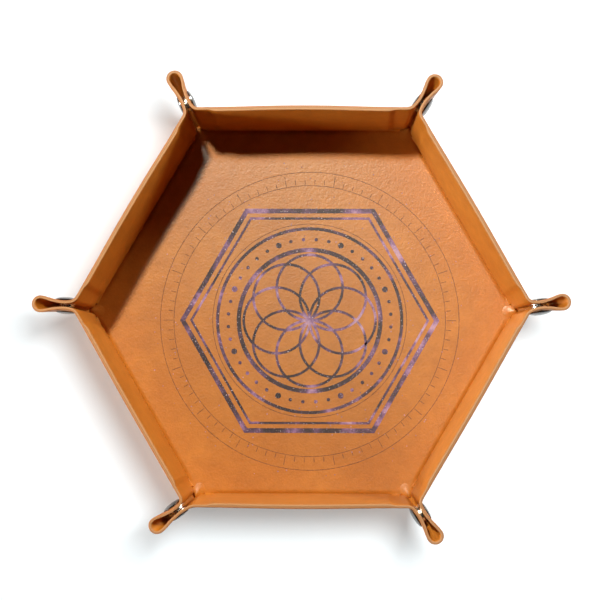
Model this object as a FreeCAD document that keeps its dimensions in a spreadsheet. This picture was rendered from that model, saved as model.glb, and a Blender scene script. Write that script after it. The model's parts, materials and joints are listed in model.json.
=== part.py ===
import FreeCAD, Part
import os

import Sketcher
from FreeCAD import Placement, Rotation, Vector

# Folding hexagonal dice tray.
#
# One leather-covered sheet has a stiff hexagonal floor and six stiff walls. The spare
# leather at each corner is pinched outwards into an ear whose two flanks are held
# together by a snap button, and that holds the walls up. With the snaps undone the
# whole sheet lies flat.
#
# Origin at the middle of the underside of the floor, +Z up, corner 1 on +X. Corner
# and wall numbers rise anticlockwise seen from above: wall 1 runs from corner 1 to
# corner 2, and wall 6 comes back to corner 1.

SIDES = 6
CORNER_STEP = 360 / SIDES

# name, value in mm or degrees, what it is
SIZES = [
    ("floor_side", 108, "length of each side of the floor, from corner to corner"),
    ("wall_height", 38, "height of a wall, measured up its inner face"),
    ("wall_lean", 6, "how far a standing wall leans outwards from upright"),
    ("liner_thickness", 0.75, "inner leather"),
    ("board_thickness", 0.8, "stiffener between the leathers"),
    ("cover_thickness", 0.75, "outer leather"),
    ("crease_gap", 0.2, "each panel's edge to the crease beside it"),
    ("board_margin", 1.2, "edge of a stiffener to the crease beside it"),
    ("board_end", 10, "end of a wall stiffener to the floor corner, along the wall"),
    ("step_length", 1.5, "slope where the liner comes down past a stiffener's end"),
    ("corner_relief", 3, "lowest edge of an ear flank, above the floor crease"),
    ("tip_gap", 0.4, "edge of an ear flank to the fold at the ear's tip"),
    ("snap_gap", 2.4, "space between an ear's two flanks when snapped"),
    ("snap_drop", 10, "centre of the snap button below the rim"),
    ("snap_edge_gap", 0.4, "edge of the cap to the crease beside it"),
    ("cap_radius", 5.75, "domed cap on the socket side"),
    ("cap_rim", 0.7, "thickness of the cap at its edge"),
    ("cap_dome", 1.2, "rise of the cap's dome above its edge"),
    ("back_radius", 4.75, "flatter rivet head on the stud side"),
    ("back_rim", 0.5, "thickness of the rivet head at its edge"),
    ("back_dome", 0.7, "rise of the rivet head above its edge"),
    ("post_radius", 1.5, "tubular posts that go through the leather"),
    ("post_wall", 0.4, "wall of a tubular post"),
    ("post_flare", 0.35, "how far the rolled end of a post spreads"),
    ("post_roll", 0.25, "thickness of the rolled end of a post"),
    ("hole_gap", 0.1, "post to the punched hole in the leather"),
    ("socket_radius", 5.2, "flange of the socket"),
    ("socket_clearance", 0.3, "face of the socket to the flange of the stud"),
    ("socket_sheet", 0.25, "metal thickness of the socket"),
    ("socket_shoulder", 4.1, "outer radius of the socket's raised ring"),
    ("socket_mouth", 2.2, "radius of the socket's mouth"),
    ("spring_wire", 0.2, "radius of the wire of the ring spring"),
    ("spring_radius", 2.9, "radius of the ring spring, to the middle of its wire"),
    ("stud_radius", 4.6, "flange of the stud"),
    ("stud_flange", 0.5, "thickness of the stud's flange"),
    ("stud_head", 1.8, "radius of the stud's head"),
    ("stud_neck", 1.5, "radius of the stud's neck, under its head"),
    ("stud_sheet", 0.25, "metal thickness of the stud's hollow head"),
    ("stud_end_gap", 0.95, "end of the stud to the leather under the socket"),
    # A soft ear doesn't stand quite square to its corner: anticlockwise is positive.
    ("ear_swing_1", 8, "swing of ear 1"),
    ("ear_swing_2", -4, "swing of ear 2"),
    ("ear_swing_3", -5, "swing of ear 3"),
    ("ear_swing_4", -3, "swing of ear 4"),
    ("ear_swing_5", -24, "swing of ear 5"),
    ("ear_swing_6", 2, "swing of ear 6"),
]

doc = FreeCAD.newDocument("dice_tray")


def add_sheet(name, rows):
    """A spreadsheet with a name, a value and a note in each row."""
    sheet = doc.addObject("Spreadsheet::Sheet", name)
    for row, (alias, value, note) in enumerate(rows, start=1):
        sheet.set(f"A{row}", alias)
        sheet.set(f"B{row}", str(value))
        sheet.set(f"C{row}", note)
        sheet.setAlias(f"B{row}", alias)
    doc.recompute()
    return sheet


sizes = add_sheet("Sizes", SIZES)

# Worked out from the sizes. A corner's own values end in its number. The crease
# between a wall and an ear flank is the mitre line of the two walls, set back for the
# ear's thickness and its snap, so that the flanks stand parallel.
WORKED_OUT = [
    ("stack", "=Sizes.liner_thickness + Sizes.board_thickness + Sizes.cover_thickness",
     "floor and wall thickness"),
    ("ear_thickness", "=Sizes.liner_thickness + Sizes.cover_thickness",
     "ear flank thickness"),
    ("apothem", "=Sizes.floor_side * cos(30)", "middle of the floor to a crease"),
    ("slope", "=tan(30) * sin(Sizes.wall_lean)", "sideways run of the mitre per rise"),
    ("mitre", "=atan(tan(30) * sin(Sizes.wall_lean))", "angle of the mitre line"),
    ("fold_turn", "=acos(cos(Sizes.wall_lean) / 2)", "turn from a wall to its flank"),
    ("wall_turn", "=90 - Sizes.wall_lean", "turn of a wall from standing to flat"),
    ("socket_height", "=Sizes.snap_gap - Sizes.stud_flange - Sizes.socket_clearance",
     "how far the socket stands above the leather"),
    ("stud_reach", "=Sizes.snap_gap - Sizes.stud_flange - Sizes.stud_end_gap",
     "height of the stud above its flange"),
    ("snap_along", "=(Sizes.wall_height - Sizes.snap_drop) / cos(atan(tan(30)"
     " * sin(Sizes.wall_lean)))", "snap button's place along the ear's crease"),
]
for number in range(1, SIDES + 1):
    swing = f"Sizes.ear_swing_{number}"
    leather = "Sizes.liner_thickness + Sizes.cover_thickness"
    offset = f"(Sizes.snap_gap / 2 + {leather}) / cos({swing})"
    stack = f"({leather} + Sizes.board_thickness)"
    WORKED_OUT += [
        (f"ear_offset_{number}", f"={offset}", "ear crease to the corner's middle plane"),
        (f"setback_{number}",
         f"=({offset} - {stack} * cos(Sizes.wall_lean) / 2) / cos(30)",
         "ear crease to the corner, along the wall"),
        (f"snap_out_{number}",
         f"=Sizes.cap_radius + Sizes.snap_edge_gap + {offset} * abs(sin({swing}))",
         "snap button to the ear's crease, halfway between the flanks"),
        (f"snap_shift_{number}", f"={offset} * sin({swing})",
         "how far the swing slides one flank along the other"),
    ]

worked_out = add_sheet("WorkedOut", WORKED_OUT)


def size(alias):
    return float(sizes.get(alias))


def worked(alias):
    return float(worked_out.get(alias))


def plane(body, role):
    """One of a body's own origin planes."""
    return next(p for p in body.Origin.OriginFeatures if p.Role == role)


def add_outline(body, name, points, role="XY_Plane", lift=None):
    """A closed outline whose points are pairs of expressions."""
    sketch = body.newObject("Sketcher::SketchObject", name)
    sketch.AttachmentSupport = (plane(body, role), [""])
    sketch.MapMode = "FlatFace"
    if lift:
        sketch.setExpression("AttachmentOffset.Base.z", lift)
    places = [Vector(value_of(x), value_of(y), 0) for x, y in points]
    count = len(points)
    for index in range(count):
        sketch.addGeometry(Part.LineSegment(places[index], places[(index + 1) % count]))
    for index in range(count):
        sketch.addConstraint(
            Sketcher.Constraint("Coincident", index, 2, (index + 1) % count, 1))
    for index, (across, up) in enumerate(points):
        bind_point(sketch, index, 1, across, up, places[index])
    return sketch


def value_of(expression):
    """The present value of an expression, used as a first guess for a sketch."""
    return float(sizes.evalExpression(expression))


def bind_point(sketch, geometry, position, across, up, place):
    """Ties a point's two coordinates to expressions."""
    kinds = [("DistanceX", across, place.x), ("DistanceY", up, place.y)]
    for kind, expression, value in kinds:
        constraint = sketch.addConstraint(
            Sketcher.Constraint(kind, -1, 1, geometry, position, value))
        sketch.setExpression(f"Constraints[{constraint}]", expression)


def add_hole(sketch, across, up, radius):
    """A round hole in an outline, tied to expressions."""
    centre = Vector(value_of(across), value_of(up), 0)
    circle = sketch.addGeometry(
        Part.Circle(centre, Vector(0, 0, 1), value_of(radius)))
    bind_point(sketch, circle, 3, across, up, centre)
    constraint = sketch.addConstraint(
        Sketcher.Constraint("Radius", circle, value_of(radius)))
    sketch.setExpression(f"Constraints[{constraint}]", radius)


def add_pad(body, sketch, length):
    pad = body.newObject("PartDesign::Pad", "Pad")
    pad.Profile = sketch
    pad.setExpression("Length", length)
    sketch.Visibility = False
    return pad


def new_body(label):
    body = doc.addObject("PartDesign::Body", label)
    body.Label = label
    return body


def add_plate(label, points, thickness, lift):
    """A flat panel in its own frame: an outline raised by lift and padded upwards."""
    body = new_body(label)
    sketch = add_outline(body, "Outline", points, lift=lift)
    add_pad(body, sketch, thickness)
    return body


def add_turned(label, points):
    """A piece turned about its own Z axis, from an outline of radius and height."""
    body = new_body(label)
    sketch = add_outline(body, "Profile", points, role="XZ_Plane")
    turned = body.newObject("PartDesign::Revolution", "Turned")
    turned.Profile = sketch
    turned.ReferenceAxis = (sketch, ["V_Axis"])
    turned.Angle = 360
    return body


# ---- where things stand ----

def wall_frame(number):
    """A wall's frame: X along its crease, Y up its inner face, Z out of that face."""
    facing = CORNER_STEP * (number - 0.5)
    crease = Rotation(Vector(0, 0, 1), facing).multVec(Vector(worked("apothem"), 0, 0))
    crease.z = worked("stack")
    along = Placement(crease, Rotation(Vector(0, 0, 1), facing - 90))
    raised = Placement(Vector(), Rotation(Vector(1, 0, 0), worked("wall_turn")))
    return along.multiply(raised)


def ear_frame(corner, side):
    """A flank's frame on its wall's crease: side 1 is a wall's clockwise end, -1 the
    other. X and Y start along the wall's own, and Z = 0 is the outer leather's face."""
    wall = corner if side > 0 else (corner - 2) % SIDES + 1
    crease = Vector(
        side * (size("floor_side") / 2 - worked(f"setback_{corner}")),
        0,
        -worked("stack"))
    turn = side * worked("fold_turn") + size(f"ear_swing_{corner}")
    line = Vector(side * worked("slope"), 1, 0)
    return wall_frame(wall).multiply(Placement(crease, Rotation(line, turn)))


def snap_frame(corner, side):
    """The snap button's frame on a flank: its axis is Z, from the outer leather in."""
    x, y = snap_place(corner, side)
    place = Placement(Vector(value_of(x), value_of(y), 0), Rotation())
    return ear_frame(corner, side).multiply(place)


def snap_place(corner, side):
    """Expressions for the snap button's place in a flank's frame."""
    sign = "-" if side > 0 else "+"
    out = f"(WorkedOut.snap_out_{corner} {sign} WorkedOut.snap_shift_{corner})"
    along = "WorkedOut.snap_along"
    x = f"{side} * ({out} * cos(WorkedOut.mitre) + {along} * sin(WorkedOut.mitre))"
    y = f"{along} * cos(WorkedOut.mitre) - {out} * sin(WorkedOut.mitre)"
    return x, y


# ---- floor ----

def add_floor():
    """Two hexagons of leather with a stiffener between them."""
    layers = [
        ("floor_cover", "0", "Sizes.cover_thickness", "Sizes.crease_gap"),
        ("floor_board", "Sizes.cover_thickness", "Sizes.board_thickness",
         "Sizes.board_margin"),
        ("floor_liner", "Sizes.cover_thickness + Sizes.board_thickness",
         "Sizes.liner_thickness", "Sizes.crease_gap"),
    ]
    pieces = []
    for label, lift, thickness, margin in layers:
        hexagon = doc.addObject("Part::Prism", label)
        hexagon.Label = label
        hexagon.Polygon = SIDES
        hexagon.setExpression("Circumradius", f"Sizes.floor_side - {margin} / cos(30)")
        hexagon.setExpression("Height", thickness)
        hexagon.setExpression("Placement.Base.z", lift)
        pieces.append(hexagon)
    return pieces


# ---- walls ----

def end_of_wall(side, corner, height):
    """X of a wall's end beside an ear crease, at a height up the wall."""
    return (f"{side} * (Sizes.floor_side / 2 - WorkedOut.setback_{corner}"
            f" + WorkedOut.slope * {height} - Sizes.crease_gap)")


def add_wall(number):
    """A wall's outer leather, its stiffener, and the inner leather over both."""
    clockwise = number
    anticlockwise = number % SIDES + 1
    bottom = "Sizes.crease_gap"
    top = "Sizes.wall_height"
    outline = [
        (end_of_wall(-1, anticlockwise, bottom), bottom),
        (end_of_wall(1, clockwise, bottom), bottom),
        (end_of_wall(1, clockwise, top), top),
        (end_of_wall(-1, anticlockwise, top), top),
    ]
    cover = add_plate(
        f"wall_{number}_cover", outline, "Sizes.cover_thickness", "-WorkedOut.stack")

    half = "(Sizes.floor_side / 2 - Sizes.board_end)"
    low = "Sizes.board_margin"
    rectangle = [(f"-{half}", low), (half, low), (half, top), (f"-{half}", top)]
    board = add_plate(
        f"wall_{number}_board", rectangle, "Sizes.board_thickness",
        "-Sizes.liner_thickness - Sizes.board_thickness")

    # The liner lies on the stiffener and comes down to the cover past its ends.
    past = "Sizes.floor_side / 2 + Sizes.wall_height"
    foot = f"{half} + Sizes.step_length"
    upper = "0"
    lower = "-Sizes.board_thickness"
    edge = "Sizes.liner_thickness"
    rise = [(past, lower), (foot, lower), (half, upper)]
    profile = [(x, z) for x, z in rise] + [(f"-({x})", z) for x, z in reversed(rise)]
    profile += [(f"-({x})", f"{z} - {edge}") for x, z in rise]
    profile += [(x, f"{z} - {edge}") for x, z in reversed(rise)]
    stepped = new_body(f"wall_{number}_liner_sheet")
    section = add_outline(stepped, "Section", profile, role="XZ_Plane")
    pad = add_pad(stepped, section, "Sizes.wall_height * 2")
    pad.Midplane = True
    trim = add_plate(
        f"wall_{number}_liner_outline", outline, "WorkedOut.stack", "-WorkedOut.stack")
    liner = doc.addObject("Part::Common", f"wall_{number}_liner")
    liner.Label = f"wall_{number}_liner"
    liner.Base = stepped
    liner.Tool = trim

    pieces = [cover, board, liner]
    for piece in pieces:
        piece.Placement = wall_frame(number)
    return pieces


# ---- ears ----

def add_flank(corner, side, label):
    """One side of an ear: both leathers together, with the snap's punched hole."""
    bottom = "Sizes.corner_relief"
    top = "Sizes.wall_height"

    def at_crease(height):
        return f"{side} * (WorkedOut.slope * {height} + Sizes.crease_gap)"

    def at_tip(height):
        return (f"{side} * (WorkedOut.setback_{corner} + tan(30) * {height}"
                f" - Sizes.tip_gap)")

    outline = [
        (at_crease(bottom), bottom),
        (at_tip(bottom), bottom),
        (at_tip(top), top),
        (at_crease(top), top),
    ]
    body = new_body(label)
    sketch = add_outline(body, "Outline", outline)
    x, y = snap_place(corner, side)
    add_hole(sketch, x, y, "Sizes.post_radius + Sizes.hole_gap")
    add_pad(body, sketch, "WorkedOut.ear_thickness")
    body.Placement = ear_frame(corner, side)
    return body


def add_head(label, radius, rim, dome, reach):
    """A snap button's cap or rivet head: a domed disc on the outer leather, with a
    tubular post through the leather whose end is rolled over."""
    bore = "Sizes.post_radius - Sizes.post_wall"
    flare = "Sizes.post_radius + Sizes.post_flare"
    profile = [
        (radius, "0"),
        ("Sizes.post_radius", "0"),
        ("Sizes.post_radius", f"{reach} - Sizes.post_roll"),
        (flare, f"{reach} - Sizes.post_roll"),
        (flare, reach),
        (bore, reach),
        (bore, "0"),
        ("0", "0"),
        ("0", f"-({rim} + {dome})"),
        (f"{radius} * 0.5", f"-({rim} + {dome} * 0.86)"),
        (f"{radius} * 0.85", f"-({rim} + {dome} * 0.42)"),
        (radius, f"-{rim}"),
    ]
    return add_turned(label, profile)


def add_socket(label):
    """A socket: a flanged cup with a mouth, and the ring spring inside it."""
    seat = "WorkedOut.ear_thickness"
    sheet = "Sizes.socket_sheet"
    crown = f"{seat} + WorkedOut.socket_height"
    eye = "Sizes.post_radius + Sizes.hole_gap"
    profile = [
        (eye, seat),
        ("Sizes.socket_radius", seat),
        ("Sizes.socket_radius", f"{seat} + {sheet}"),
        ("Sizes.socket_shoulder", f"{seat} + {sheet} * 2"),
        ("Sizes.socket_shoulder", f"{crown} - {sheet}"),
        (f"Sizes.socket_shoulder - {sheet}", crown),
        ("Sizes.socket_mouth", crown),
        ("Sizes.socket_mouth", f"{crown} - {sheet}"),
        (f"Sizes.socket_shoulder - {sheet}", f"{crown} - {sheet}"),
        (f"Sizes.socket_shoulder - {sheet}", f"{seat} + {sheet}"),
        (eye, f"{seat} + {sheet}"),
    ]
    cup = add_turned(f"{label}_cup", profile)
    spring = doc.addObject("Part::Torus", f"{label}_spring")
    spring.setExpression("Radius1", "Sizes.spring_radius")
    spring.setExpression("Radius2", "Sizes.spring_wire")
    spring.setExpression(
        "Placement.Base.z", f"{crown} - {sheet} * 1.5 - Sizes.spring_wire * 1.5")
    socket = doc.addObject("Part::Compound", label)
    socket.Label = label
    socket.Links = [cup, spring]
    return socket


def add_stud(label):
    """A stud: a flange on the inner leather with a hollow, headed nub on it. The end of
    the rivet's post is rolled over inside the flange."""
    seat = "WorkedOut.ear_thickness"
    top = f"{seat} + Sizes.stud_flange"
    crown = f"{top} + WorkedOut.stud_reach"
    ceiling = f"{crown} - Sizes.stud_sheet"
    bore = "Sizes.stud_neck - Sizes.stud_sheet"
    recess = "Sizes.post_radius + Sizes.post_flare + Sizes.hole_gap"
    recess_top = f"{seat} + Sizes.post_roll + Sizes.hole_gap"
    profile = [
        (recess, seat),
        ("Sizes.stud_radius", seat),
        ("Sizes.stud_radius", f"{seat} + Sizes.stud_flange * 0.6"),
        ("Sizes.stud_radius - Sizes.stud_flange", top),
        ("Sizes.stud_neck", top),
        ("Sizes.stud_neck", f"{top} + WorkedOut.stud_reach * 0.3"),
        ("Sizes.stud_head", f"{top} + WorkedOut.stud_reach * 0.6"),
        ("Sizes.stud_head * 0.75", crown),
        ("0", crown),
        ("0", ceiling),
        (bore, ceiling),
        (bore, recess_top),
        (recess, recess_top),
    ]
    return add_turned(label, profile)


def add_ear(corner):
    """An ear's two flanks and the four pieces of its snap button."""
    socket_end = "WorkedOut.ear_thickness + Sizes.socket_sheet + Sizes.post_roll"
    stud_end = "WorkedOut.ear_thickness + Sizes.post_roll"
    socket_side = [
        add_head(f"snap_{corner}_cap", "Sizes.cap_radius", "Sizes.cap_rim",
                 "Sizes.cap_dome", socket_end),
        add_socket(f"snap_{corner}_socket"),
    ]
    stud_side = [
        add_head(f"snap_{corner}_rivet", "Sizes.back_radius", "Sizes.back_rim",
                 "Sizes.back_dome", stud_end),
        add_stud(f"snap_{corner}_stud"),
    ]
    for pieces, side in ((socket_side, -1), (stud_side, 1)):
        for piece in pieces:
            piece.Placement = snap_frame(corner, side)
    flanks = [
        add_flank(corner, -1, f"ear_{corner}_socket_flank"),
        add_flank(corner, 1, f"ear_{corner}_stud_flank"),
    ]
    return flanks + socket_side + stud_side


# ---- the whole tray ----

nodes = add_floor()
for number in range(1, SIDES + 1):
    nodes += add_wall(number)
for number in range(1, SIDES + 1):
    nodes += add_ear(number)
doc.recompute()

for item in doc.Objects:
    if "Invalid" in item.State or "Error" in item.State:
        raise RuntimeError(f"{item.Label} did not recompute: {item.State}")
for node in nodes:
    if node.Shape.isNull() or not node.Shape.isValid():
        raise RuntimeError(f"{node.Label} has no valid shape")

os.makedirs("parts", exist_ok=True)
for node in nodes:
    node.Shape.exportStep(f"parts/{node.Label}.step")
print(len(nodes), "nodes written")
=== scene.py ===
import json
import math

import bpy
import numpy as np
from mathutils import Matrix, Vector


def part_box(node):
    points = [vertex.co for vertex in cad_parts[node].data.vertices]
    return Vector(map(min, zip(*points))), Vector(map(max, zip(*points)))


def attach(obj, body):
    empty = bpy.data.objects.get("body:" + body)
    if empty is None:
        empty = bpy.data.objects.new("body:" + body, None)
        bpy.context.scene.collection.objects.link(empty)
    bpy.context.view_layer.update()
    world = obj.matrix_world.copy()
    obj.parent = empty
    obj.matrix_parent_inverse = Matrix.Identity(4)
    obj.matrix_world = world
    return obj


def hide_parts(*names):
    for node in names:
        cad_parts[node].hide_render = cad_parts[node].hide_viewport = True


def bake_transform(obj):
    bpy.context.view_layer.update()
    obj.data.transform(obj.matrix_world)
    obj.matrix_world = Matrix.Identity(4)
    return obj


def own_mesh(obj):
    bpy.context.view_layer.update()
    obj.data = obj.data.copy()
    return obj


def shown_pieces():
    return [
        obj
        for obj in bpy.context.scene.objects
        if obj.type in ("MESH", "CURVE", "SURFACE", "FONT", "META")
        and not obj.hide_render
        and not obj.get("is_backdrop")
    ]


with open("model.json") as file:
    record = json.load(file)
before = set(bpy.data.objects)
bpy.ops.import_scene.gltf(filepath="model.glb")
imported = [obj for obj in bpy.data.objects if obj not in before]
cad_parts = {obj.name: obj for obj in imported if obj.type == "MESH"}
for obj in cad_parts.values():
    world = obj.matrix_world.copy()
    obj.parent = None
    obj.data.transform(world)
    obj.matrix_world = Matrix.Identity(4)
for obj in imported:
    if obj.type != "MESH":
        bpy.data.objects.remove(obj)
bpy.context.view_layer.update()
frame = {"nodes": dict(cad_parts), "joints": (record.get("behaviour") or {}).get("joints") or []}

# %% [markdown]
# Folding dice tray. The real thing is two sheets of coated leather glued back to back,
# with stiff boards between them under the floor and under each wall. At the six corners
# there is no board: the spare leather is pinched outwards into an ear, and a snap button
# holds the ear shut. Everything here is made from one idea: take a point of the flat,
# cut-out sheet, and work out where folding carries it. That keeps the grain running
# across every crease, because the flat place of each point is also its texture place.
#
# All the sizes come from the frame's joints and boxes, so the leather always fits the
# snaps and the creases that the mechanism turns about.

# %% Sizes of the tray, in millimetres
MM = 0.001
JOINTS = {joint["name"]: joint for joint in frame["joints"]}
WALL_CREASE = np.array(JOINTS["wall_2_fold"]["pos_m"]) / MM
APOTHEM, STACK = WALL_CREASE[1], WALL_CREASE[2]
LEAN = math.radians(90 - JOINTS["wall_2_fold"]["range_deg"][1])
TAN30, COS30 = math.tan(math.radians(30)), math.cos(math.radians(30))
SIDE = 2 * APOTHEM * TAN30
HEIGHT = (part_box("wall_2_liner")[1].z / MM - STACK) / math.cos(LEAN)
BOARD = (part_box("floor_board")[1].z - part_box("floor_board")[0].z) / MM
LEATHER = STACK - BOARD
BOARD_END = 10.0
BOARD_SLOPE = 4.5
SLOPE = TAN30 * math.sin(LEAN)
MITRE = math.atan(SLOPE)
print(f"floor side {SIDE:.1f}, wall {HEIGHT:.1f}, thickness {STACK:.2f} and {LEATHER:.2f} mm")


# %% [markdown]
# Each wall has its own axes: along its crease, up its inner face, and out of that face
# towards the well. Each ear flank has axes too: the wall's own, turned about the slanted
# crease at the wall's end. How far it turns is what the ear's joint can open by, so the
# flank lies exactly where the snap buttons are.

# %% Axes of the walls and of the ears
UP = np.array([0.0, 0.0, 1.0])


def wall_axes(wall):
    angle = math.radians(60 * (wall - 0.5))
    out = np.array([math.cos(angle), math.sin(angle), 0.0])
    along = np.array([out[1], -out[0], 0.0])
    up = out * math.sin(LEAN) + UP * math.cos(LEAN)
    return out * APOTHEM + UP * STACK, along, up, np.cross(along, up)


def turned(vector, axis, angle):
    return np.array(Matrix.Rotation(angle, 3, Vector(axis)) @ Vector(vector))


class Ear:
    """One flank of an ear, with the crease where it leaves its wall."""

    def __init__(self, corner, side):
        self.corner, self.side = corner, side
        self.kind = "stud" if side > 0 else "socket"
        self.body = f"ear_{corner}_{self.kind}_side"
        self.joint = f"ear_{corner}_{self.kind}_fold"
        self.wall = corner if side > 0 else (corner - 2) % 6 + 1
        self.base = np.array(JOINTS[self.joint]["pos_m"]) / MM
        origin, along, up, normal = wall_axes(self.wall)
        self.crease_x = side * (self.base - origin) @ along
        self.setback = SIDE / 2 - self.crease_x
        self.turn = math.radians(JOINTS[self.joint]["range_deg"][1])
        self.line = (up + side * SLOPE * along) * math.cos(MITRE)
        self.wall_normal = normal
        self.wall_across = (side * along - SLOPE * up) * math.cos(MITRE)
        turn = side * self.turn
        self.x = turned(side * along, self.line, turn)
        self.y = turned(up, self.line, turn)
        self.normal = turned(normal, self.line, turn)
        self.across = turned(self.wall_across, self.line, turn)


EARS = {(corner, side): Ear(corner, side) for corner in range(1, 7) for side in (1, -1)}
for corner in range(1, 7):
    stud, socket = EARS[corner, 1], EARS[corner, -1]
    apart = socket.base - stud.base
    MIDDLE = apart @ stud.normal / 2
    slide = apart @ stud.x / 2
    stud.nose_shift, socket.nose_shift = slide, -slide
print(f"half the thickness of a closed ear {MIDDLE:.2f} mm")

# %% [markdown]
# The leather is built as closed shells. A shell is a grid of columns, and each column
# goes once round the cross-section: up the inner face, over the cut edge with its
# corners a little rounded as a cutting die leaves them, and down the outer face. Two
# things are stored with each point: its place on the flat sheet, and how deep it lies
# between the inner face (0) and the outer face (1), which later draws the pale core of
# the leather along the cut edge.

# %% A shell of leather from a grid of columns
INNER, EDGE, OUTER = 0, 1, 2
EDGE_ROUND = 0.28


def edge_steps(reach, thickness):
    """Height and depth along a cut edge, from the inner face to the outer one."""
    r = EDGE_ROUND
    steps = []
    for turn in (30, 60, 90):
        a = math.radians(turn)
        steps.append((reach - r + r * math.sin(a), (r - r * math.cos(a)) / thickness))
    steps.append((reach + 0.03, 0.5))
    return steps + [(y, 1 - w) for y, w in reversed(steps[:3])]


def make_object(name, verts, faces, kinds, flat, depth, materials, sharp=50):
    mesh = bpy.data.meshes.new(name)
    mesh.from_pydata([tuple(v) for v in np.asarray(verts) * MM], [], faces)
    mesh.polygons.foreach_set("material_index", kinds)
    layer = mesh.uv_layers.new(name="flat")
    loops = np.zeros(len(mesh.loops), np.int32)
    mesh.loops.foreach_get("vertex_index", loops)
    layer.data.foreach_set("uv", np.asarray(flat, np.float32)[loops].ravel() / 100)
    if depth is not None:
        store = mesh.attributes.new("depth", "FLOAT", "POINT")
        store.data.foreach_set("value", np.asarray(depth, np.float32))
    for material in materials:
        mesh.materials.append(material)
    mesh.polygons.foreach_set("use_smooth", [True] * len(mesh.polygons))
    mesh.set_sharp_from_angle(angle=math.radians(sharp))
    mesh.validate()
    obj = bpy.data.objects.new(name, mesh)
    bpy.context.scene.collection.objects.link(obj)
    return obj


def shell(name, columns, flats, steps, caps, materials):
    """columns[i][j] is point j round the section of column i, and steps[j] its kind."""
    columns, n = np.asarray(columns), len(columns[0])
    verts = columns.reshape(-1, 3)
    faces, face_kinds = [], []
    for i in range(len(columns) - 1):
        for j in range(n):
            k = (j + 1) % n
            faces.append((i * n + j, i * n + k, (i + 1) * n + k, (i + 1) * n + j))
            face_kinds.append(steps[j][2])
    for first, flip in ((0, True), ((len(columns) - 1) * n, False)):
        for cap in caps:
            face = [first + j for j in cap]
            faces.append(tuple(reversed(face)) if flip else tuple(face))
            face_kinds.append(EDGE)
    flat = np.asarray(flats).reshape(-1, 2)
    depth = np.tile([depth for _, depth, _ in steps], len(columns))
    return make_object(name, verts, faces, face_kinds, flat, depth, materials)


def section(rows):
    """The (height, depth, kind) steps round a shell, and the faces that close an end."""
    shoulder = rows[-1] - EDGE_ROUND
    rise = [(y, 0.0, INNER) for y in rows[:-1]] + [(shoulder, 0.0, EDGE)]
    over = [(y, w, EDGE) for y, w in edge_steps(rows[-1], LEATHER)]
    fall = [(shoulder, 1.0, OUTER)] + [(y, 1.0, OUTER) for y in reversed(rows[:-1])]
    fall[-1] = (*fall[-1][:2], EDGE)
    steps = rise + over + fall
    m, total = len(rows), len(steps)
    caps = [(j, j + 1, total - 2 - j, total - 1 - j) for j in range(m - 1)]
    caps.append(tuple(range(m - 1, total - m + 1)))
    return steps, caps


print("a cut edge is rounded by", EDGE_ROUND, "mm")

# %% [markdown]
# Coated leather, stamped with a fine grain. The coating is a satin plastic film, so it
# has the index of a plastic (1.47) and a soft highlight. Its colour drifts a little over
# the sheet, as a printed coat does, and the pebble of the stamp is about 0.9 mm. The cut
# edges show the undyed middle of the leather between two dyed faces, so one node reads
# how deep the point lies. All patterns are measured on the flat sheet.

# %% Helpers for materials
def linear(code):
    """An sRGB hex colour as linear RGBA."""
    parts = [int(code[i:i + 2], 16) / 255 for i in (1, 3, 5)]
    out = [c / 12.92 if c <= 0.04045 else ((c + 0.055) / 1.055) ** 2.4 for c in parts]
    return (*out, 1.0)


def add_node(tree, kind, settings=None, **links):
    """Adds a node. Settings are attributes or socket values; links are inputs."""
    node = tree.nodes.new(kind)
    for key, value in (settings or {}).items():
        if isinstance(key, str) and hasattr(node, key):
            setattr(node, key, value)
        else:
            node.inputs[key].default_value = value
    for key, source in links.items():
        name = int(key[1:]) if key[1:].isdigit() else key.replace("_", " ")
        tree.links.new(source, node.inputs[name])
    return node


def new_material(name, **sockets):
    material = bpy.data.materials.new(name)
    material.use_nodes = True
    shader = material.node_tree.nodes["Principled BSDF"]
    for key, value in sockets.items():
        shader.inputs[key.replace("_", " ")].default_value = value
    return material, material.node_tree, shader


def flat_place(tree):
    """The place on the flat sheet in millimetres."""
    place = add_node(tree, "ShaderNodeUVMap", {"uv_map": "flat"})
    scaled = add_node(tree, "ShaderNodeVectorMath", {"operation": "SCALE", "Scale": 100.0},
                      _0=place.outputs[0])
    return scaled.outputs[0]


def noise(tree, place, size, detail=2.0, rough=0.5):
    """A noise whose blobs are about size millimetres across."""
    return add_node(tree, "ShaderNodeTexNoise",
                    {"Scale": 1 / size, "Detail": detail, "Roughness": rough},
                    Vector=place).outputs[0]


def spread_out(tree, value, low, high, out_low=0.0, out_high=1.0):
    settings = {"From Min": low, "From Max": high, "To Min": out_low, "To Max": out_high}
    return add_node(tree, "ShaderNodeMapRange", settings, Value=value).outputs[0]


def mixed(tree, amount, first, second):
    node = add_node(tree, "ShaderNodeMix", {"data_type": "RGBA"})
    for slot, value in ((0, amount), (6, first), (7, second)):
        if isinstance(value, bpy.types.NodeSocket):
            tree.links.new(value, node.inputs[slot])
        else:
            node.inputs[slot].default_value = value
    return node.outputs[2]


def colour_ramp(tree, value, stops):
    """Colours along a value, from stops of a position and an sRGB hex colour."""
    node = add_node(tree, "ShaderNodeValToRGB", None, Fac=value)
    ramp = node.color_ramp
    for element, (position, code) in zip(ramp.elements, (stops[0], stops[-1])):
        element.position, element.color = position, linear(code)
    for position, code in stops[1:-1]:
        ramp.elements.new(position).color = linear(code)
    return node.outputs[0]


# %% Leather, stamped grain, satin coat
PEBBLE = 0.9
MOTTLE = 7.0
CLOUD = 45.0


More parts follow.
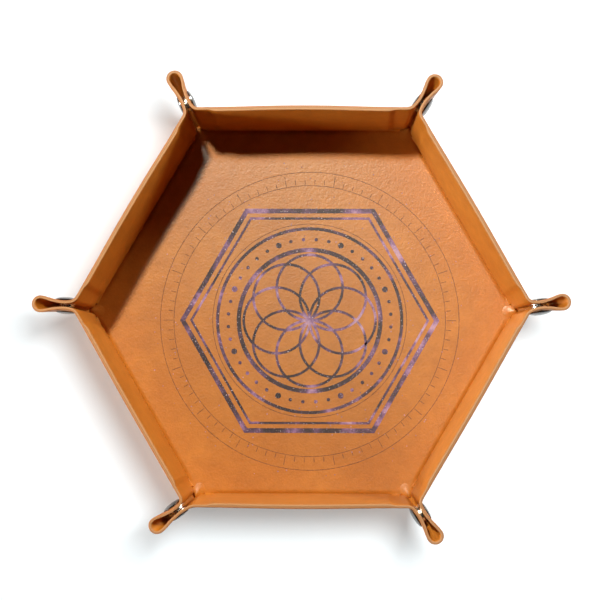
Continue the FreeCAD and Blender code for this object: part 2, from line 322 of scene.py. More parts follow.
def coated_leather(name, middle, dark, light):
    material, tree, shader = new_material(name, Roughness=0.43, IOR=1.47)
    place = flat_place(tree)
    cloud = spread_out(tree, noise(tree, place, CLOUD), 0.35, 0.65)
    mottle = spread_out(tree, noise(tree, place, MOTTLE, 4.0, 0.6), 0.3, 0.7)
    fleck = spread_out(tree, noise(tree, place, 1.1, 3.0, 0.7), 0.3, 0.75)
    colour = mixed(tree, cloud, linear(middle), linear(light))
    colour = mixed(tree, spread_out(tree, mottle, 0, 1, 0.0, 0.55), colour, linear(dark))
    colour = mixed(tree, spread_out(tree, fleck, 0, 1, 0.0, 0.42), colour, linear(light))
    tree.links.new(colour, shader.inputs["Base Color"])
    pebble = add_node(tree, "ShaderNodeTexVoronoi",
                      {"feature": "SMOOTH_F1", "Scale": 1 / PEBBLE, "Randomness": 0.9},
                      Vector=place).outputs[0]
    wrinkle = noise(tree, place, 2.2, 4.0, 0.65)
    height = add_node(tree, "ShaderNodeMath", {"operation": "MULTIPLY_ADD", 1: 0.5},
                      _0=pebble, _2=wrinkle).outputs[0]
    bump = add_node(tree, "ShaderNodeBump", {"Strength": 0.45, "Distance": 0.00022},
                    Height=height)
    tree.links.new(bump.outputs[0], shader.inputs["Normal"])
    rough = spread_out(tree, fleck, 0, 1, 0.39, 0.48)
    tree.links.new(rough, shader.inputs["Roughness"])
    return material


inner_leather = coated_leather("coated_leather_inner", "#c2721d", "#a85f12", "#d2832a")
outer_leather = coated_leather("coated_leather_outer", "#ba6c1e", "#a05a17", "#c87d2a")


# %% Cut edge of the leather
def cut_edge():
    material, tree, shader = new_material("leather_cut_edge", Roughness=0.72, IOR=1.45)
    place = flat_place(tree)
    depth = add_node(tree, "ShaderNodeAttribute", {"attribute_name": "depth"}).outputs[2]
    waver = add_node(tree, "ShaderNodeMath", {"operation": "MULTIPLY_ADD", 1: 0.22},
                     _0=noise(tree, place, 3.0), _2=depth).outputs[0]
    bands = colour_ramp(tree, waver, (
        (0.0, "#b8702f"), (0.2, "#bd824b"), (0.42, "#cc9a6b"), (0.6, "#a56c3d"),
        (0.75, "#c08955"), (1.0, "#b0652a")))
    fibre = spread_out(tree, noise(tree, place, 0.7, 4.0, 0.7), 0.3, 0.7, 0.0, 0.3)
    colour = mixed(tree, fibre, bands, linear("#b87642"))
    tree.links.new(colour, shader.inputs["Base Color"])
    bump = add_node(tree, "ShaderNodeBump", {"Strength": 0.5, "Distance": 0.0002},
                    Height=noise(tree, place, 0.5, 4.0, 0.7))
    tree.links.new(bump.outputs[0], shader.inputs["Normal"])
    return material


edge_leather = cut_edge()
LEATHERS = [inner_leather, edge_leather, outer_leather]
print("leathers", [m.name for m in LEATHERS])

# %% [markdown]
# The floor. A stiff hexagonal board lies between the two leathers, so it stays flat. Its
# shell stops a few millimetres short of the creases, where the bending strips take over.

# %% Floor panel
STRIP_IN, STRIP_UP = 4.0, 3.0


def smooth(x):
    x = np.clip(x, 0.0, 1.0)
    return x * x * (3 - 2 * x)


def floor_panel():
    reach = (APOTHEM - STRIP_IN) / COS30
    rings = 12
    verts, faces = [], []
    for level in (STACK, 0.0):
        verts.append((0, 0, level))
        for ring in range(1, rings + 1):
            for k in range(6):
                a, b = (reach * ring / rings * np.array([math.cos(t), math.sin(t)])
                        for t in (math.radians(60 * k), math.radians(60 * k + 60)))
                for step in range(ring):
                    x, y = a + (b - a) * step / ring
                    verts.append((x, y, level))
    start = [0] + [1 + 3 * r * (r - 1) for r in range(1, rings + 2)]
    layer = start[rings + 1]

    def at(ring, index):
        return 0 if ring == 0 else start[ring] + index % (6 * ring)

    for ring in range(1, rings + 1):
        for k in range(6):
            for step in range(ring):
                outer_i, inner_i = k * ring + step, k * (ring - 1) + step
                tri = (at(ring, outer_i), at(ring, outer_i + 1), at(ring - 1, inner_i))
                faces.append(tri)
                if step:
                    faces.append((at(ring - 1, inner_i - 1), at(ring, outer_i),
                                  at(ring - 1, inner_i)))
    top = len(faces)
    faces += [tuple(reversed([v + layer for v in f])) for f in faces]
    rim = [at(rings, i) for i in range(6 * rings)]
    for i, v in enumerate(rim):
        w = rim[(i + 1) % len(rim)]
        faces.append((v + layer, w + layer, w, v))
    kinds = [INNER] * top + [OUTER] * top + [EDGE] * len(rim)
    flat = [v[:2] for v in verts]
    depth = [0.0 if v[2] > 0 else 1.0 for v in verts]
    return make_object("floor_panel", verts, faces, kinds, flat, depth, LEATHERS)


floor_panel_piece = floor_panel()
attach(floor_panel_piece, "floor")
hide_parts("floor_liner", "floor_board", "floor_cover")
print("floor panel faces", len(floor_panel_piece.data.polygons))

# %% [markdown]
# The walls. A wall's board stops 10 mm short of each corner, so there the inner leather
# steps back to meet the outer one, and the top edge of the wall gets thinner. The boards
# are not perfectly flat: a standing wall bows outwards, by up to a millimetre.

# %% Wall panels
BEND_START = 3.0
BOW = {1: 0.5, 2: 0.9, 3: 0.7, 4: 0.3, 5: 0.6, 6: 0.4}


def board_step(x):
    """How far the inner leather lies back, x along the wall from its middle."""
    end = SIDE / 2 - BOARD_END
    return BOARD * smooth((np.abs(x) - end + 1.0) / BOARD_SLOPE)


def wall_flat(wall, x, y):
    """The place on the flat sheet of a point of a wall."""
    origin, along, _, _ = wall_axes(wall)
    out = origin[:2] / np.linalg.norm(origin[:2])
    return out * (APOTHEM + y) + along[:2] * x


def wall_point(wall, x, y, depth):
    """A point of a standing wall; depth 0 is its inner face and 1 its outer face."""
    origin, along, up, normal = wall_axes(wall)
    inner = board_step(x)
    back = inner + (STACK - inner) * depth
    bow = BOW[wall] * math.cos(math.pi * x / SIDE) ** 2 * smooth(y / HEIGHT)
    return origin + along * x + up * y - normal * (back + bow)


def wall_end(wall, side, y):
    """Where the wall panel ends and the ear's bend begins."""
    corner = wall if side > 0 else wall % 6 + 1
    return EARS[corner, side].crease_x + SLOPE * y - BEND_START


def column_shares(corner_gap):
    """Where the columns stand, -1 to 1, closer together where the board ends."""
    board_end = SIDE / 2 - BOARD_END
    near_ends = [side * (board_end + past) / (SIDE / 2 - corner_gap)
                 for side in (1, -1) for past in np.linspace(-1.4, 4.0, 11)]
    return sorted(set(np.round([*np.linspace(-1, 1, 41), *near_ends], 5)))


WALL_ROWS = [STRIP_UP, 6, 10, 14, 18, 22, 26, 30, 34, 36.5, HEIGHT]


def wall_shell(wall):
    steps, caps = section(WALL_ROWS)
    columns, flats = [], []
    for share in column_shares(2.0):
        column, flat = [], []
        for y, w, _ in steps:
            low, high = -wall_end(wall, -1, y), wall_end(wall, 1, y)
            x = low + (high - low) * (share + 1) / 2
            column.append(wall_point(wall, x, y, w))
            flat.append(wall_flat(wall, x, y))
        columns.append(column)
        flats.append(flat)
    return shell(f"wall_{wall}_panel", columns, flats, steps, caps, LEATHERS)


for wall in range(1, 7):
    panel = wall_shell(wall)
    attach(panel, f"wall_{wall}")
    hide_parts(*(f"wall_{wall}_{ply}" for ply in ("liner", "board", "cover")))
print("wall panels", 6, "columns of", len(section(WALL_ROWS)[0]), "points")

# %% [markdown]
# The crease between the floor and a wall. No board crosses it, so the inner leather
# sinks into a groove about a millimetre deep, and the outer leather rounds the corner.
# The groove fades before it gets to the tray's corners, where the boards end. A strip
# reaches a little way onto the floor and a little way up the wall.

# %% Crease strips
GROOVE = 0.85
GROOVE_HALF = 0.75
GROOVE_FADE = 9.0
CORNER_HALF = 0.6
STEP_BACK_OVER = 1.6
CREASE_STEPS = [-4, -3, -2.2, -1.6, -1.1, -0.7, -0.4, -0.2,
                0, 0.2, 0.4, 0.7, 1.1, 1.6, 2.2, 3]


def strip_end(wall, side, q):
    """Half the length of the strip, q in along the floor (below 0) or up the wall."""
    at_wall = wall_end(wall, side, STRIP_UP)
    at_floor = (APOTHEM - STRIP_IN) * TAN30
    share = (q + STRIP_IN) / (STRIP_IN + STRIP_UP)
    return at_floor + (at_wall - at_floor) * share


def crease_point(wall, x, q, depth, groove):
    """A point of a strip: its inner face sinks, and its outer face rounds the corner."""
    origin, along, up, normal = wall_axes(wall)
    out = origin - UP * STACK
    out = out / np.linalg.norm(out)
    bisector = -(up - out) / np.linalg.norm(up - out)
    if depth < 0.5:
        spot = origin + (up * q if q > 0 else out * q)
        spot = spot + bisector * groove * math.exp(-(q / GROOVE_HALF) ** 2)
        return spot + along * x - normal * board_step(x) * smooth(q / STEP_BACK_OVER)
    if abs(q) <= CORNER_HALF:
        turn = (q + CORNER_HALF) / (2 * CORNER_HALF) * (math.pi / 2 - LEAN)
        return origin + along * x - STACK * (UP * math.cos(turn) - out * math.sin(turn))
    limit = STRIP_UP if q > 0 else STRIP_IN
    reach = (abs(q) - CORNER_HALF) * limit / (limit - CORNER_HALF)
    side_out = up * reach - normal * STACK if q > 0 else -out * reach - UP * STACK
    return origin + along * x + side_out


def crease_strip(wall):
    n = len(CREASE_STEPS)
    steps = [(q, 0.0, INNER) for q in CREASE_STEPS[:-1]] + [(CREASE_STEPS[-1], 0.0, EDGE)]
    steps += [(q, 1.0, OUTER) for q in CREASE_STEPS[:0:-1]] + [(CREASE_STEPS[0], 1.0, EDGE)]
    caps = [(j, j + 1, 2 * n - 2 - j, 2 * n - 1 - j) for j in range(n - 1)]
    columns, flats = [], []
    for share in column_shares(2.5):
        column, flat = [], []
        for q, depth, _ in steps:
            low, high = -strip_end(wall, -1, q), strip_end(wall, 1, q)
            x = low + (high - low) * (share + 1) / 2
            fade = smooth((SIDE / 2 - 2 - abs(x)) / GROOVE_FADE)
            column.append(crease_point(wall, x, q, depth, GROOVE * fade))
            flat.append(wall_flat(wall, x, q))
        columns.append(column)
        flats.append(flat)
    return shell(f"crease_{wall}_strip", columns, flats, steps, caps, LEATHERS)


for wall in range(1, 7):
    strip = crease_strip(wall)
    origin, along, up, normal = wall_axes(wall)
    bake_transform(strip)
print("crease strips", 6)

# %% [markdown]
# The ears. Each flank leaves its wall through a bend about a slanted crease, which is a
# cylinder rolled about a line just outside the leather. The bend and the flat part of
# the flank that carries the snap are one shell. The leather beyond the snap is not held
# by anything, so it swells into a round loop before the two flanks meet at the fold.
# That loop is a shell of its own.

# %% Bends and flanks
EAR_ROWS = [-0.7, 0.6, 2, 4, 6.5, 9, 12, 15, 18, 20.5,
            23, 25.5, 28, 30, 32, 34, 36, HEIGHT]
# the rounder the loop, the shorter the ear, and each one is rounded one by one
DRAWN_IN = {1: 1.9, 2: 0.9, 3: 0.3, 4: 1.0, 5: 0.3, 6: 0.2}
NOSE_SWELL = 1.55
SWELL_FROM = 19.0
# how far the leather takes to leave the flank's plane: at the foot, above it, at the rim
EASE_FOOT, EASE_SWELL, EASE_RIM, EASE_RIM_FROM = 0.5, 1.5, 9.5, 28.0
# the bend between wall and flank is this wide on each side, and widens towards the rim
BEND_HALF, BEND_WIDENS, BEND_WIDENS_FROM = 1.1, 1.1, 29.0
# how deep the cut edge is pinched in, from what height, how far along and over what width
WAIST, WAIST_FROM, WAIST_AT, WAIST_WIDE = 0.42, 31.0, 5.5, 3.2


def swell(y):
    """How far the loop stands outside the flank's plane at height y."""
    return NOSE_SWELL * max(0.0, (y - SWELL_FROM) / (HEIGHT - SWELL_FROM)) ** 1.35


def ear_ends(ear, y):
    """Crease, start of the loop, its widest place and its nose, along the flank."""
    y = max(y, 0.0)
    crease = SLOPE * y
    drawn_in = DRAWN_IN[ear.corner] * smooth((y - SWELL_FROM) / (HEIGHT - SWELL_FROM))
    nose = ear.setback + TAN30 * y + ear.nose_shift - drawn_in
    length = nose - crease
    round_x = min(MIDDLE + swell(y), length * 0.62)
    widest = nose + LEATHER / 2 - round_x
    ease = (EASE_FOOT + EASE_SWELL * smooth((y - SWELL_FROM) / 4)
            + EASE_RIM * smooth((y - EASE_RIM_FROM) / (HEIGHT - EASE_RIM_FROM)))
    start = widest - min(ease, (widest - crease) * 0.5)
    return crease, start, widest, nose


def fillet_half(ear, y):
    """Half the width of the bend between the wall and the flank."""
    crease, start, _, _ = ear_ends(ear, y)
    wider = BEND_WIDENS * smooth((y - BEND_WIDENS_FROM) / (HEIGHT - BEND_WIDENS_FROM))
    return min(BEND_HALF + wider, (start - crease) * 0.55)


def waist(y, u):
    """The cut edge above the snap is pinched in a little."""
    high = smooth((y - WAIST_FROM) / (HEIGHT - WAIST_FROM))
    return WAIST * high * math.exp(-((u - WAIST_AT) / WAIST_WIDE) ** 2)


def ear_point(ear, x, y, lift):
    """A point of the bend or the flank, lift above the outer face."""
    u = (x - SLOPE * y) * math.cos(MITRE)
    v = (x * SLOPE + y) * math.cos(MITRE)
    half = fillet_half(ear, y)
    foot = ear.base + ear.line * v
    if u <= -half:
        bow = BOW[ear.wall] * math.cos(math.pi * min(1, (ear.crease_x + x) / SIDE)) ** 2
        bow *= smooth(y / HEIGHT)
        return foot + ear.wall_across * u + ear.wall_normal * (lift - bow)
    if u >= half:
        return foot + ear.across * u + ear.normal * (lift + waist(y, u))
    radius = half / math.tan(ear.turn / 2)
    angle = ear.turn * (u + half) / (2 * half)
    pull = waist(y, u) * smooth(angle / ear.turn)
    centre = foot - ear.wall_across * half - ear.wall_normal * radius
    out = ear.wall_across * math.sin(angle) + ear.wall_normal * math.cos(angle)
    return centre + out * (radius + lift + pull)


def ear_flat(ear, x, y):
    """The place on the flat sheet: the flank lies beyond its wall, in the same plane."""
    return wall_flat(ear.wall, ear.side * (ear.crease_x + x), y)


def on_circle(radius, degrees):
    return np.array([math.cos(math.radians(degrees)), math.sin(math.radians(degrees))]) * radius


def declare_leather(piece):
    """Hands the piece back as it is."""
    return piece


def flank_shell(ear):
    """Columns from -1 to -0.36 lie on the wall, up to 1 in the bend, and up to 2 beyond it."""
    steps, caps = section(EAR_ROWS)
    shares = np.concatenate([np.linspace(-1, -0.4, 4), np.linspace(-0.36, 1, 13)[:-1],
                             1 + np.linspace(0, 1, 12)])
    columns, flats = [], []
    for share in shares:
        column, flat = [], []
        for y, w, _ in steps:
            crease, start, _, _ = ear_ends(ear, y)
            half = fillet_half(ear, y) / math.cos(MITRE)
            low = -BEND_START + crease
            if share <= -0.36:
                t = (share + 1) / 0.64
                x = low + (crease - half - low) * t
            elif share <= 1:
                x = crease - half + 2 * half * (share + 0.36) / 1.36
            else:
                x = crease + half + (start - crease - half) * (share - 1)
            column.append(ear_point(ear, x, y, LEATHER * (1 - w)))
            flat.append(ear_flat(ear, x, y))
        columns.append(column)
        flats.append(flat)
    name = f"ear_{ear.corner}_{ear.kind}_flank_leather"
    if ear.side < 0:
        columns, flats = columns[::-1], flats[::-1]
    return declare_leather(shell(name, columns, flats, steps, caps, LEATHERS))


def loop_curve(ear, y):
    """Outer face of the loop at one height: places (x, outward) and square-out directions."""
    _, start, widest, nose = ear_ends(ear, y)
    out = swell(y)
    pulls = -waist(y, start * math.cos(MITRE))
    places = []
    for t in np.linspace(0, 1, 9):
        share = (1 - math.cos(math.pi * t)) / 2
        places.append((start + (widest - start) * t, pulls * (1 - share) + out * share))
    tip = nose + LEATHER / 2 - widest
    for a in np.linspace(0, math.pi / 2, 13)[1:]:
        places.append((widest + tip * math.sin(a),
                       -MIDDLE + (MIDDLE + out) * math.cos(a)))
    places = np.array(places)
    along = np.gradient(places, axis=0)
    along[0] = (1.0, 0.0)
    along[-1] = (0.0, -1.0)
    along /= np.linalg.norm(along, axis=1)[:, None]
    square = np.stack([-along[:, 1], along[:, 0]], axis=1)
    return places, square


def loop_shell(ear):
    steps, caps = section(EAR_ROWS)
    curves = {y: loop_curve(ear, y) for y in {s[0] for s in steps}}
    columns, flats, unrolled = [], [], []
    around = {}
    for y, (places, square) in curves.items():
        core = places - square * LEATHER / 2
        lengths = np.linalg.norm(np.diff(core, axis=0), axis=1)
        around[y] = np.concatenate([[0], np.cumsum(lengths)])
    for i in range(21):
        column, flat = [], []
        unrolled.append([(ear_ends(ear, y)[1] + around[y][i], y) for y, _, _ in steps])
        for y, w, _ in steps:
            places, square = curves[y]
            _, start, _, nose = ear_ends(ear, y)
            spot = places[i] - square[i] * LEATHER * (1 - w)
            place = ear.base + ear.x * spot[0] + ear.y * y - ear.normal * spot[1]
            column.append(place)
            flat.append(ear_flat(ear, start + (nose - start) * i / 20, y))
        columns.append(column)
        flats.append(flat)
    name = f"ear_{ear.corner}_{ear.kind}_loop_leather"
    if ear.side < 0:
        columns, flats = columns[::-1], flats[::-1]
    return declare_leather(shell(name, columns, flats, steps, caps, LEATHERS))


for ear in EARS.values():
    flank = flank_shell(ear)
    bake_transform(flank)
    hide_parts(f"ear_{ear.corner}_{ear.kind}_flank")
    loop = loop_shell(ear)
    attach(loop, ear.body)
    middle = ear.base + ear.normal * LEATHER / 2
    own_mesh(loop)
print("ear flanks and loops", len(EARS))

# %% [markdown]
# Where an ear begins, at each corner of the floor, the leather has nowhere to go and
# puckers into a small rounded lip. It is a low dome of leather.

# %% Corner puckers
PUCKER_IN = 1.6
PUCKER_FRONT, PUCKER_BACK = 4.6, 5.6
PUCKER_WIDE, PUCKER_TAPER = 3.9, 1.2
RIDGE, RIDGE_WIDE = 0.75, 1.6


def pucker(corner):
    angle = math.radians(60 * (corner - 1))
    out = np.array([math.cos(angle), math.sin(angle), 0.0])
    across = np.array([-out[1], out[0], 0.0])
    centre = out * (SIDE - PUCKER_IN)
    rings, spokes = 9, 40
    verts = []
    for face in (1, -1):
        for ring in range(rings + 1):
            r = ring / rings
            for k in range(spokes):
                t = 2 * math.pi * k / spokes
                along = math.cos(t) * (PUCKER_FRONT if math.cos(t) > 0 else PUCKER_BACK)
                wide = math.sin(t) * (PUCKER_WIDE - PUCKER_TAPER * math.cos(t))
                round_off = math.sqrt(max(0.0, 1 - r ** 4))
                if face > 0:
                    ridge = RIDGE * math.exp(-(wide * r / RIDGE_WIDE) ** 2)
                    ridge *= smooth(0.5 + along * r / 6)
                    z = STACK / 2 + (STACK / 2 + 0.15 + ridge) * round_off
                else:
                    z = STACK / 2 - (STACK / 2 - 0.02) * round_off
                verts.append(centre + out * along * r + across * wide * r + UP * z)
    faces, n = [], (rings + 1) * spokes
    for base, flip in ((0, False), (n, True)):
        for ring in range(rings):
            for k in range(spokes):
                a, b = base + ring * spokes + k, base + ring * spokes + (k + 1) % spokes
                face = (a, a + spokes, b + spokes, b)
                faces.append(tuple(reversed(face)) if flip else face)
    for k in range(spokes):
        a, b = rings * spokes + k, rings * spokes + (k + 1) % spokes
        faces.append((a, a + n, b + n, b))
    top = rings * spokes
    kinds = [INNER] * top + [OUTER] * top + [OUTER] * spokes
    flat = [v[:2] for v in verts]
    depth = [0.0] * n + [1.0] * n
    obj = make_object(f"corner_{corner}_pucker", verts, faces, kinds, flat, depth, LEATHERS, 80)
    weld = obj.modifiers.new("weld", "WELD")
    weld.merge_threshold = 0.00001
    return obj


for corner in range(1, 7):
    lip = pucker(corner)
    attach(lip, "floor")
    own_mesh(lip)
print("puckers", 6)

# %% [markdown]
# The snaps stay as the frame made them, because they are turned metal and already
# exact. Caps and rivet heads are brass with a dark nickel (gunmetal) plating, pressed
# and polished; sockets, springs and studs are plain nickel, duller. A metal keeps the
# default index, and its colour is the colour of its reflections.

# %% Snap metals
def plated(name, code, roughness, grit):
    material, tree, shader = new_material(name, Metallic=1.0, Base_Color=linear(code))
    place = add_node(tree, "ShaderNodeTexCoord").outputs["Object"]
    marks = add_node(tree, "ShaderNodeTexNoise", {"Scale": 1000 / grit, "Detail": 3.0},
                     Vector=place).outputs[0]
    rough = spread_out(tree, marks, 0.3, 0.7, roughness - 0.06, roughness + 0.08)
    tree.links.new(rough, shader.inputs["Roughness"])
    bump = add_node(tree, "ShaderNodeBump", {"Strength": 0.15, "Distance": 0.00003},
                    Height=marks)
    tree.links.new(bump.outputs[0], shader.inputs["Normal"])
    return material


gunmetal = plated("gunmetal_plated_brass", "#6f6c6a", 0.2, 1.4)
nickel = plated("nickel_plated_brass", "#cfcac0", 0.26, 0.9)
for name, node in frame["nodes"].items():
    if not name.startswith("snap_"):
        continue
    dark = name.endswith(("cap", "rivet"))
    node.data.materials.clear()
    node.data.materials.append(gunmetal if dark else nickel)
    node.data.set_sharp_from_angle(angle=math.radians(35))
print("snap parts", sum(n.startswith("snap_") for n in frame["nodes"]))

# %% [markdown]
# The print. Screen ink lies on the leather as a film about 0.05 mm thick, so each line
# is a thin ribbon of its own on the floor panel. The ornament is a plain one, drawn with
# compass and ruler: a rosette of equal circles, rings, a row of dots, two hexagons that
# echo the tray, and a scale of fine ticks. Every shape is a ribbon between two edges, so
# one helper makes them all.

# %% Ribbons of ink
PRINT_CENTRE = np.array([3.4, -4.9])
INK = 0.05
SUNK = 0.03
rng = np.random.default_rng(6)


class Print:
    """Collects ribbons of one ink."""

    def __init__(self, name, material, level):
        self.name, self.material, self.level = name, material, level
        self.verts, self.faces = [], []

    def ribbon(self, left, right, closed=False):
        left, right = np.asarray(left, float), np.asarray(right, float)
        n, base = len(left), len(self.verts)
        lift = self.level + 0.0015 * (base % 7)
        for z in (STACK + lift, STACK - SUNK):
            for edge in (left, right):
                self.verts += [(*(PRINT_CENTRE + p), z) for p in edge]
        for i in range(n if closed else n - 1):
            j = (i + 1) % n
            a, b, c, d = base + i, base + j, base + n + j, base + n + i
            low = 2 * n
            self.faces += [(a, b, c, d), (a + low, d + low, c + low, b + low),
                           (a, a + low, b + low, b), (d, c, c + low, d + low)]
        if not closed:
            for i in (0, n - 1):
                a, d = base + i, base + n + i
                face = (a, d, d + 2 * n, a + 2 * n)
                self.faces.append(face if i == 0 else tuple(reversed(face)))

    def circle(self, centre, radius, width):
        turns = np.radians(np.linspace(0, 360, 120, endpoint=False))
        ring = np.stack([np.cos(turns), np.sin(turns)], axis=1)
        self.ribbon(centre + ring * (radius - width / 2),
                    centre + ring * (radius + width / 2), True)

    def line(self, a, b, width):
        along = (b - a) / np.linalg.norm(b - a)
        side = np.array([-along[1], along[0]]) * width / 2
        self.ribbon([a + side, b + side], [a - side, b - side])

    def outline(self, points, width):
        points = np.asarray(points, float)
        before, after = np.roll(points, 1, axis=0), np.roll(points, -1, axis=0)
        left, right = [], []
        for p, q, r in zip(before, points, after):
            u, v = (q - p) / np.linalg.norm(q - p), (r - q) / np.linalg.norm(r - q)
            normal = np.array([-(u + v)[1], (u + v)[0]])
            normal /= np.linalg.norm(normal)
            reach = width / 2 / max(0.3, normal @ np.array([-u[1], u[0]]))
            left.append(q + normal * reach)
            right.append(q - normal * reach)
        self.ribbon(left, right, True)

    def disc(self, centre, radius):
        turns = np.linspace(-math.pi / 2, math.pi / 2, 15)
        half = np.stack([np.cos(turns), np.sin(turns)], axis=1) * radius
        self.ribbon(centre + half * (-1, 1), centre + half)

    def build(self):
        flat = [v[:2] for v in self.verts]
        kinds = [0] * len(self.faces)
        obj = make_object(self.name, self.verts, self.faces, kinds, flat, None,
                          [self.material], 30)
        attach(obj, "floor")
        return obj


# %% [markdown]
# The ink is a mottled plum, from dark to violet, with pale flecks. The fine lines are
# the same ink let through so sparingly that the orange shows in it, which makes them
# brown. Ink is a dull plastic film.

# %% Inks
def mottled_ink():
    material, tree, shader = new_material("screen_ink_mottled_plum", Roughness=0.62, IOR=1.4)
    place = flat_place(tree)
    cloud = noise(tree, place, 21.0, 5.0, 0.62)
    plums = colour_ramp(tree, cloud, (
        (0.36, "#2b1f25"), (0.46, "#44303a"), (0.53, "#684868"), (0.59, "#a075a0"),
        (0.66, "#cfa3bd"), (0.76, "#5a4368")))
    fleck = spread_out(tree, noise(tree, place, 0.9, 2.0, 0.6), 0.62, 0.72)
    colour = mixed(tree, fleck, plums, linear("#e7d3e0"))
    tree.links.new(colour, shader.inputs["Base Color"])
    return material


def thin_ink(name, code, worn):
    material, tree, shader = new_material(name, Roughness=0.62, IOR=1.4)
    place = flat_place(tree)
    wear = spread_out(tree, noise(tree, place, 1.6, 3.0, 0.7), 0.35, 0.65)
    colour = mixed(tree, wear, linear(code), linear(worn))
    tree.links.new(colour, shader.inputs["Base Color"])
    return material


ornament = Print("print_ornament", mottled_ink(), INK)
fine = Print("print_fine_lines", thin_ink("screen_ink_fine", "#633a20", "#a5642f"), INK * 0.6)
speck_ink = thin_ink("screen_ink_pale_specks", "#d9a2a0", "#8b5a4e")
specks = Print("print_specks", speck_ink, INK * 0.8)

# %% Ornament
PETALS, PETAL_RADIUS = 8, 17.0
for k in range(PETALS):
    ornament.circle(on_circle(PETAL_RADIUS, 360 / PETALS * k), PETAL_RADIUS, 1.3)
ornament.circle((0, 0), 2 * PETAL_RADIUS + 2.5, 2.2)
DOTS, DOT_RING = 40, 42.0
for k in range(DOTS):
    ornament.disc(on_circle(DOT_RING, 360 / DOTS * (k + 0.5)), 1.5 if k % 5 == 2 else 0.9)
ornament.circle((0, 0), 47.5, 1.6)
for radius, width in ((61.0, 1.2), (65.5, 2.4)):
    ornament.outline([on_circle(radius, 60 * k) for k in range(6)], width)

# %% Fine lines and specks
FINE_LINE = 0.34
for radius in (50.0, 70.0, 77.0):
    fine.circle((0, 0), radius, FINE_LINE)
TICKS, TICK_START, SHORT_TICK, LONG_TICK = 90, 70.5, 73.0, 75.5
for k in range(TICKS):
    angle = 360 / TICKS * k
    tick_end = LONG_TICK if k % 5 == 0 else SHORT_TICK
    fine.line(on_circle(TICK_START, angle), on_circle(tick_end, angle), FINE_LINE)
SPECKS = 260
for _ in range(SPECKS):
    spot = on_circle(rng.uniform(42, 84), rng.uniform(0, 360))
    specks.disc(spot, rng.uniform(0.16, 0.42))
for sheet_of_ink in (ornament, fine, specks):
    print(sheet_of_ink.build().name, len(sheet_of_ink.faces), "faces")

# %% [markdown]
# A plain studio. The table is a disc of matt white paper, and a pale backdrop, which gives
# no light, closes the studio behind it. A lamp in Blender can be linked to what it lights
# and to what stands in its way, so the things that share a lamp are put in collections.

# %% Table, backdrop and collections
TABLE_REACH, TABLE_DROP, RIM_STEPS = 0.75, 0.0003, 96
tray_things = bpy.data.collections.new("tray_things")
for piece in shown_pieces():
    tray_things.objects.link(piece)
table_mesh = bpy.data.meshes.new("table")
around_table = [2 * math.pi * k / RIM_STEPS for k in range(RIM_STEPS)]
table_mesh.from_pydata([(TABLE_REACH * math.cos(a), TABLE_REACH * math.sin(a), -TABLE_DROP)
                        for a in around_table], [], [tuple(range(RIM_STEPS))])
table = bpy.data.objects.new("table", table_mesh)
bpy.context.scene.collection.objects.link(table)
paper, _, _ = new_material("matt_white_paper", Base_Color=(0.9, 0.9, 0.905, 1), Roughness=0.9)
table_mesh.materials.append(paper)
table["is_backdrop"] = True
bpy.ops.mesh.primitive_uv_sphere_add(segments=48, ring_count=24, radius=5.0)
backdrop = bpy.context.object
backdrop.name = "backdrop"
pale, _, _ = new_material("pale_backdrop", Base_Color=(0, 0, 0, 1), Emission_Strength=0.95,
                          Emission_Color=(0.97, 0.98, 1.0, 1), Specular_IOR_Level=0.0)
backdrop.data.materials.append(pale)
backdrop.visible_diffuse = backdrop.visible_glossy = backdrop.visible_shadow = False
backdrop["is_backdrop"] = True
table_things = bpy.data.collections.new("table_things")
table_things.objects.link(table)
stage_things = bpy.data.collections.new("tray_and_table")
for piece in [*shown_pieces(), table]:
    stage_things.objects.link(piece)

# %% [markdown]
# A small hard lamp high on the upper left throws the walls' shadow on the floor, and two
# low lamps light the walls on the far side of each. The table has lamps of its own, so it
# stays white and the shadow on it is faint. Real lamps can't be linked like this, so the
# look belongs to this studio.

# %% Lamps
FILL_FAR, FILL_UP = 1.2, 0.32


def placed(turn, rise, far):
    """The place so many degrees round, so many degrees up and so far from the tray."""
    turn, rise = math.radians(turn), math.radians(rise)
    return (far * math.cos(turn) * math.cos(rise), far * math.sin(turn) * math.cos(rise),
            far * math.sin(rise))


def lamp(name, place, size, power, lights, blockers=None):
    data = bpy.data.lights.new(name, "AREA")
    data.shape, data.size, data.energy = "DISK", size, power
    obj = bpy.data.objects.new(name, data)
    obj.location = place
    obj.rotation_euler = (-Vector(place)).to_track_quat("-Z", "Y").to_euler()
    bpy.context.scene.collection.objects.link(obj)
    obj.light_linking.receiver_collection = lights
    if blockers is not None:
        obj.light_linking.blocker_collection = blockers
    return obj


key = lamp("key_lamp", placed(120, 59, 1.6), size=0.12, power=23.4,
           lights=tray_things, blockers=stage_things)
key.data.color = (1.0, 0.97, 0.86)
for name, degrees, power in (("wall_fill_left", 192, 13), ("wall_fill_right", 38, 11)):
    angle = math.radians(degrees)
    lamp(name, (FILL_FAR * math.cos(angle), FILL_FAR * math.sin(angle), FILL_UP), size=0.3,
         power=power, lights=tray_things, blockers=stage_things)
for name, place, size, power, blockers in (
        ("table_lamp", (0.46, 0.38, 1.5), 0.8, 28, stage_things),
        ("table_fill", (0.0, 0.0, 2.0), 1.5, 19, table_things)):
    lamp(name, place, size, power, table_things, blockers).data.color = (0.9, 0.98, 1.0)
print("lamps", len(bpy.data.lights))

# %% [markdown]
# The gloss comes from a lamp that only makes highlights. A card hangs in its way, never
# seen itself, and shades it softly, so that the gloss fades towards the lower left. The
# world gives almost no light of its own.

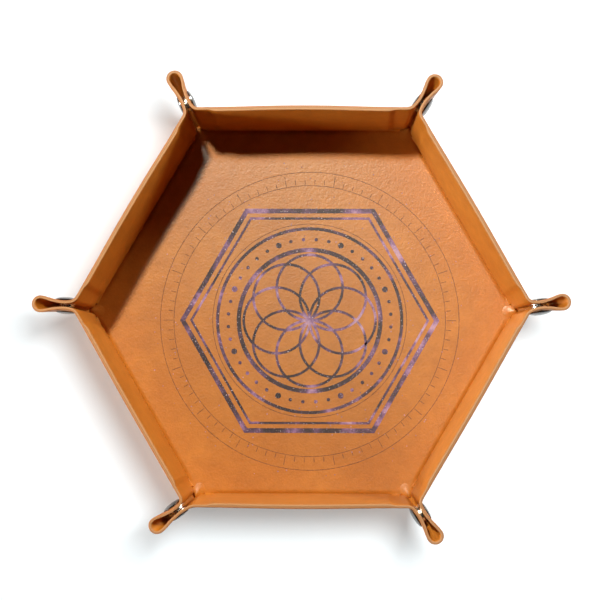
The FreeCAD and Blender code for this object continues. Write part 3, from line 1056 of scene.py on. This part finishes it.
# %% Gloss lamp, its card and the world
toward_gloss = Vector(placed(113, 58, 1.0))
gloss = lamp("gloss_lamp", toward_gloss * 1.6, size=0.14, power=62, lights=tray_things)
gloss.data.color = (1.0, 0.88, 0.66)
gloss.visible_diffuse = False
CARD, CARD_UP, CARD_BACK, CARD_TURN = 0.6, 0.9, 0.012, math.radians(22)
card_mesh = bpy.data.meshes.new("gloss_card")
away = Vector((math.cos(CARD_TURN), math.sin(CARD_TURN), 0.0))
beside = Vector((-away.y, away.x, 0.0))
middle = toward_gloss * CARD_UP - away * CARD_BACK
card_mesh.from_pydata([middle + beside * CARD, middle - beside * CARD,
                       middle - beside * CARD - away * CARD,
                       middle + beside * CARD - away * CARD], [], [(0, 1, 2, 3)])
card = bpy.data.objects.new("gloss_card", card_mesh)
bpy.context.scene.collection.objects.link(card)
card.visible_camera = card.visible_diffuse = card.visible_glossy = False
card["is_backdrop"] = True
world = bpy.data.worlds.new("studio")
world.use_nodes = True
background = world.node_tree.nodes["Background"]
background.inputs["Color"].default_value = (1, 1, 1, 1)
background.inputs["Strength"].default_value = 0.012
bpy.context.scene.world = world
bpy.context.scene.view_settings.view_transform = "Standard"
print("card", CARD, "m wide on each side,", CARD_UP, "m up towards the gloss lamp")

# %% [markdown]
# The camera looks almost straight down from about a metre, through a long lens, so the
# walls lean outwards only a little in the picture.

# %% Camera
FOCAL_PER_WIDTH, SENSOR = 1927 / 600, 36.0
CAMERA_TURN = {"X": -4.12, "Y": -1.08, "Z": -0.19}
turn = Matrix.Identity(3)
for axis, degrees in CAMERA_TURN.items():
    turn = turn @ Matrix.Rotation(math.radians(degrees), 3, axis)
shift = Vector((1.6, -5.8, -996.6)) * MM
camera_data = bpy.data.cameras.new("camera")
camera_data.sensor_width = SENSOR
camera_data.lens = SENSOR * FOCAL_PER_WIDTH
camera = bpy.data.objects.new("camera", camera_data)
unturn = turn.transposed()
camera.matrix_world = Matrix.Translation(-(unturn @ shift)) @ unturn.to_4x4()
bpy.context.scene.collection.objects.link(camera)
bpy.context.scene.camera = camera
print(f"lens {camera_data.lens:.1f} mm, camera {camera.matrix_world.translation.z:.3f} m up")
